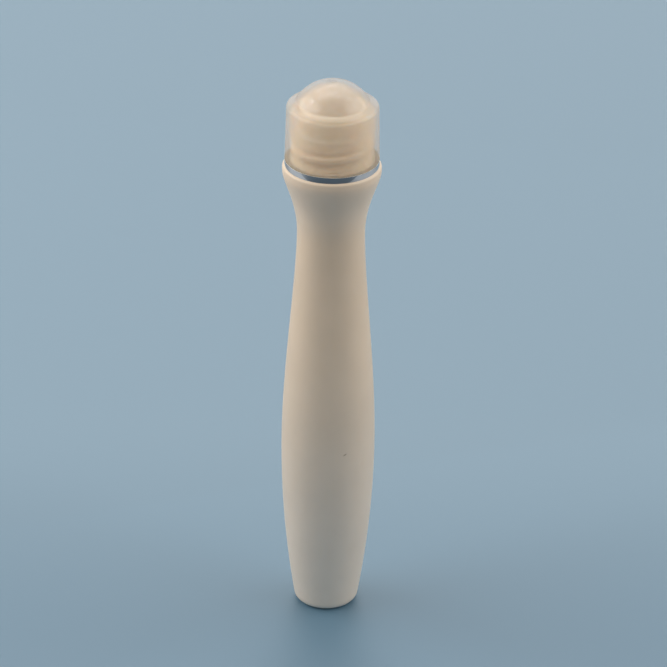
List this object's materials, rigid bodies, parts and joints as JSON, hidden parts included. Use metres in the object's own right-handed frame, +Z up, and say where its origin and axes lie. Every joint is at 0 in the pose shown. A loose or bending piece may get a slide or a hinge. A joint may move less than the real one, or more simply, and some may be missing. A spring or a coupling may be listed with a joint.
{
  "type": "roll-on bottle",
  "caption": "Slim waisted roll-on bottle with a ball applicator in its threaded neck, a bright trim ring and a frosted domed screw cap.",
  "frame": {"origin": "middle of the foot, on the surface that the bottle stands on", "axes": "+Z up along the bottle's axis; +X and +Y across it, with the camera on the -Y side"},
  "size_m": [0.02, 0.02, 0.1198],
  "materials": {
    "bottle_plastic": "satin ivory, blow-moulded",
    "ring_metal": "mirror bright",
    "housing_plastic": "natural, moulded",
    "ball_plastic": "polished",
    "cap_plastic": "frosted, see-through"
  },
  "bodies": {
    "bottle_body": {"bottle": "bottle_plastic", "ball_housing": "housing_plastic"},
    "ring": {"trim_ring": "ring_metal"},
    "cap": {"cap": "cap_plastic"},
    "ball": {"roller_ball": "ball_plastic"}
  },
  "joints": [
    {"name": "cap_unscrew", "type": "hinge", "parent": "bottle_body", "child": "ring", "pos_m": [0, 0, 0.1031], "axis": [0, 0, 1], "range_deg": [0, 2520]},
    {"name": "cap_lift", "type": "slide", "parent": "ring", "child": "cap", "axis": [0, 0, 1], "range_m": [0, 0.0171]},
    {"name": "ball_roll", "type": "hinge", "parent": "bottle_body", "child": "ball", "pos_m": [0, 0, 0.11285], "axis": [1, 0, 0], "continuous": true}
  ],
  "couplings": [
    {"joint": "cap_lift", "follows": "cap_unscrew", "m_per_rad": 0.00038834}
  ]
}
